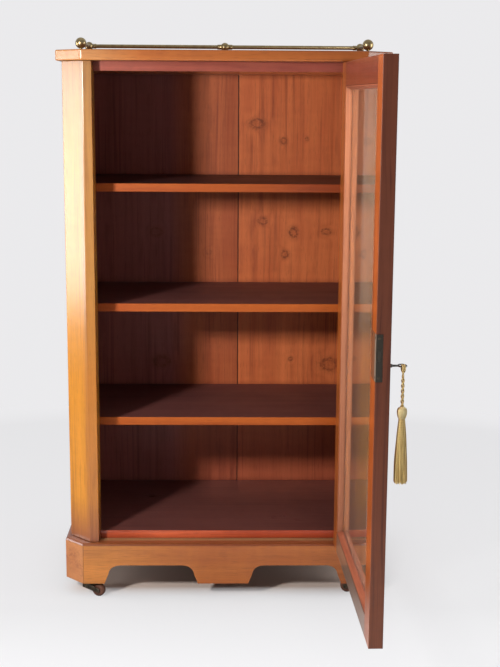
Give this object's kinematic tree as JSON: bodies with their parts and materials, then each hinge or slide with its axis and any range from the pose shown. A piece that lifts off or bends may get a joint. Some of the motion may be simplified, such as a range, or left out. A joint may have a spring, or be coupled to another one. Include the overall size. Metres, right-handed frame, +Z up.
{
  "type": "pier cabinet",
  "caption": "Narrow upright display cabinet with canted corners, one glazed door on side hinges, fixed shelves, a low brass rail on top and castors.",
  "frame": {"origin": "on the floor, under the middle of the box round the cabinet with its door open as stored, measured without the tassel", "axes": "+Z up, -Y towards the viewer and the door's side, +X to the viewer's right, where the hinges are"},
  "size_m": [0.635, 0.8672, 1.0971],
  "materials": {
    "birch": "polished",
    "stained_edge": "stained",
    "pine": "stained, matt",
    "brass": "polished, worn",
    "bronze": "tarnished",
    "steel": "worn",
    "glass": "polished",
    "castor_wheel": "worn",
    "gold_yarn": "silky"
  },
  "bodies": {
    "carcase": {"back_board_left": "pine", "back_board_right": "pine", "carcase_bottom": "stained_edge", "carcase_top": "stained_edge", "corner_block_back_left": "pine", "corner_block_back_right": "pine", "corner_block_front_left": "pine", "corner_block_front_right": "pine", "corner_post_left": "birch", "corner_post_right": "birch", "gallery_corner_left": "brass", "gallery_corner_right": "brass", "gallery_finial_left": "brass", "gallery_finial_right": "brass", "gallery_middle_post": "brass", "gallery_rail_back": "brass", "gallery_rail_left": "brass", "gallery_rail_right": "brass", "hinge_leaf_fixed_lower": "brass", "hinge_leaf_fixed_upper": "brass", "hinge_pin_lower": "brass", "hinge_pin_upper": "brass", "plinth_back": "pine", "plinth_corner_left": "birch", "plinth_corner_right": "birch", "plinth_front": "birch", "plinth_front_rail": "birch", "plinth_side_left": "birch", "plinth_side_right": "birch", "shelf_lower": "birch", "shelf_middle": "birch", "shelf_upper": "birch", "side_left": "birch", "side_right": "birch", "top_board": "birch"},
    "door": {"door_bottom_rail": "birch", "door_hinge_stile": "birch", "door_lock_stile": "birch", "door_top_rail": "birch", "glass_pane": "glass", "glazing_bead_bottom": "birch", "glazing_bead_free": "birch", "glazing_bead_hinge": "birch", "glazing_bead_top": "birch", "hinge_leaf_moving_lower": "brass", "hinge_leaf_moving_upper": "brass", "lock_case": "bronze"},
    "bolt": {"lock_bolt": "brass"},
    "key": {"key": "steel"},
    "tassel": {"tassel_cord": "gold_yarn", "tassel_head": "gold_yarn", "tassel_skirt": "gold_yarn"},
    "castor_front_left": {"castor_horn_front_left": "bronze"},
    "wheel_front_left": {"castor_wheel_front_left": "castor_wheel"},
    "castor_front_right": {"castor_horn_front_right": "bronze"},
    "wheel_front_right": {"castor_wheel_front_right": "castor_wheel"},
    "castor_back_left": {"castor_horn_back_left": "bronze"},
    "wheel_back_left": {"castor_wheel_back_left": "castor_wheel"},
    "castor_back_right": {"castor_horn_back_right": "bronze"},
    "wheel_back_right": {"castor_wheel_back_right": "castor_wheel"}
  },
  "joints": [
    {"name": "door_hinge", "type": "hinge", "parent": "carcase", "child": "door", "pos_m": [0.246, 0.05756, 0.57998], "axis": [0, 0, 1], "range_deg": [-91.8, 83.2]},
    {"name": "key_turn", "type": "hinge", "parent": "door", "child": "key", "pos_m": [0.26072, -0.41071, 0.57348], "axis": [0.9995, 0.0314, 0], "range_deg": [0, 180]},
    {"name": "bolt_slide", "type": "slide", "parent": "door", "child": "bolt", "axis": [0.0314, -0.9995, 0], "range_m": [0, 0.007]},
    {"name": "tassel_swing", "type": "hinge", "parent": "key", "child": "tassel", "pos_m": [0.27866, -0.41965, 0.57348], "axis": [0.9995, 0.0314, 0], "range_deg": [-225, 45]},
    {"name": "swivel_front_left", "type": "hinge", "parent": "carcase", "child": "castor_front_left", "pos_m": [-0.2715, 0.07406, 0.02998], "axis": [0, 0, 1], "continuous": true},
    {"name": "roll_front_left", "type": "hinge", "parent": "castor_front_left", "child": "wheel_front_left", "pos_m": [-0.24801, 0.06551, 0.01274], "axis": [0.342, 0.9397, 0], "continuous": true},
    {"name": "swivel_front_right", "type": "hinge", "parent": "carcase", "child": "castor_front_right", "pos_m": [0.2715, 0.07406, 0.02998], "axis": [0, 0, 1], "continuous": true},
    {"name": "roll_front_right", "type": "hinge", "parent": "castor_front_right", "child": "wheel_front_right", "pos_m": [0.24985, 0.08656, 0.01274], "axis": [-0.5, -0.866, 0], "continuous": true},
    {"name": "swivel_back_left", "type": "hinge", "parent": "carcase", "child": "castor_back_left", "pos_m": [-0.2715, 0.39156, 0.02998], "axis": [0, 0, 1], "continuous": true},
    {"name": "roll_back_left", "type": "hinge", "parent": "castor_back_left", "child": "wheel_back_left", "pos_m": [-0.25102, 0.4059, 0.01274], "axis": [-0.5736, 0.8192, 0], "continuous": true},
    {"name": "swivel_back_right", "type": "hinge", "parent": "carcase", "child": "castor_back_right", "pos_m": [0.2715, 0.39156, 0.02998], "axis": [0, 0, 1], "continuous": true},
    {"name": "roll_back_right", "type": "hinge", "parent": "castor_back_right", "child": "wheel_back_right", "pos_m": [0.26093, 0.41422, 0.01274], "axis": [-0.9063, -0.4226, 0], "continuous": true}
  ],
  "couplings": [
    {"joint": "bolt_slide", "follows": "key_turn", "m_per_rad": 0.0022279}
  ]
}
